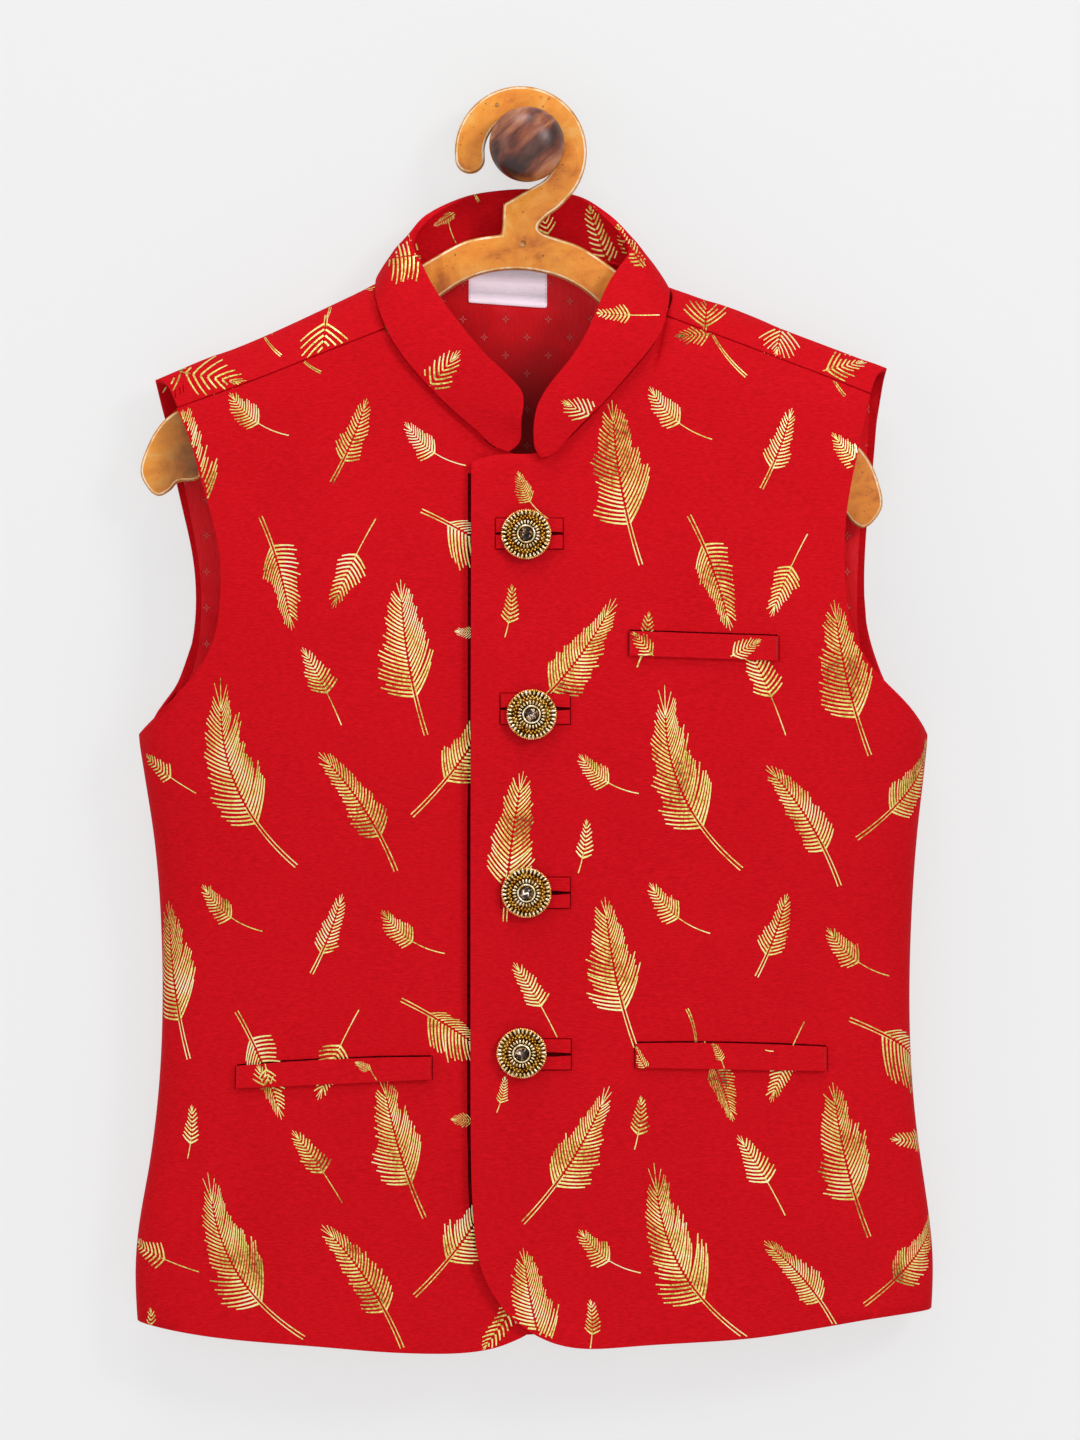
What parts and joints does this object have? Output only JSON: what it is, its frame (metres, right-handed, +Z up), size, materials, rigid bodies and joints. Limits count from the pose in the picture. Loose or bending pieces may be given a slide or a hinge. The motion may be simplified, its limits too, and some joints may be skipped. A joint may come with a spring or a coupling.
{
  "type": "child's nehru jacket on a wooden hanger, hung from a wall knob",
  "caption": "Sleeveless child's nehru jacket in red feather-print brocade with a band collar, hung flat on a wooden hanger from a wall knob.",
  "frame": {"origin": "middle of the wall knob's back face, where it is fixed to the wall", "axes": "+Z up, +Y into the wall, the jacket's front looks along -Y"},
  "size_m": [0.3366, 0.061, 0.5314],
  "materials": {
    "brocade": "matt woven, fine cross rib, foil-printed feathers",
    "lining": "satin",
    "button_metal": "antiqued gold plate",
    "button_stone": "polished",
    "label": "satin, bare",
    "plywood": "clear lacquer",
    "walnut": "satin lacquer"
  },
  "bodies": {
    "root": {"right_front": "brocade", "left_front": "brocade", "back": "brocade", "back_lining": "lining", "collar": "brocade", "breast_welt": "brocade", "lower_welt_left": "brocade", "lower_welt_right": "brocade", "buttonhole_upper_1": "brocade", "buttonhole_lower_1": "brocade", "button_1": "button_metal", "button_stone_1": "button_stone", "buttonhole_upper_2": "brocade", "buttonhole_lower_2": "brocade", "button_2": "button_metal", "button_stone_2": "button_stone", "buttonhole_upper_3": "brocade", "buttonhole_lower_3": "brocade", "button_3": "button_metal", "button_stone_3": "button_stone", "buttonhole_upper_4": "brocade", "buttonhole_lower_4": "brocade", "button_4": "button_metal", "button_stone_4": "button_stone", "neck_label": "label", "hanger": "plywood", "wall_knob": "walnut"}
  },
  "joints": []
}
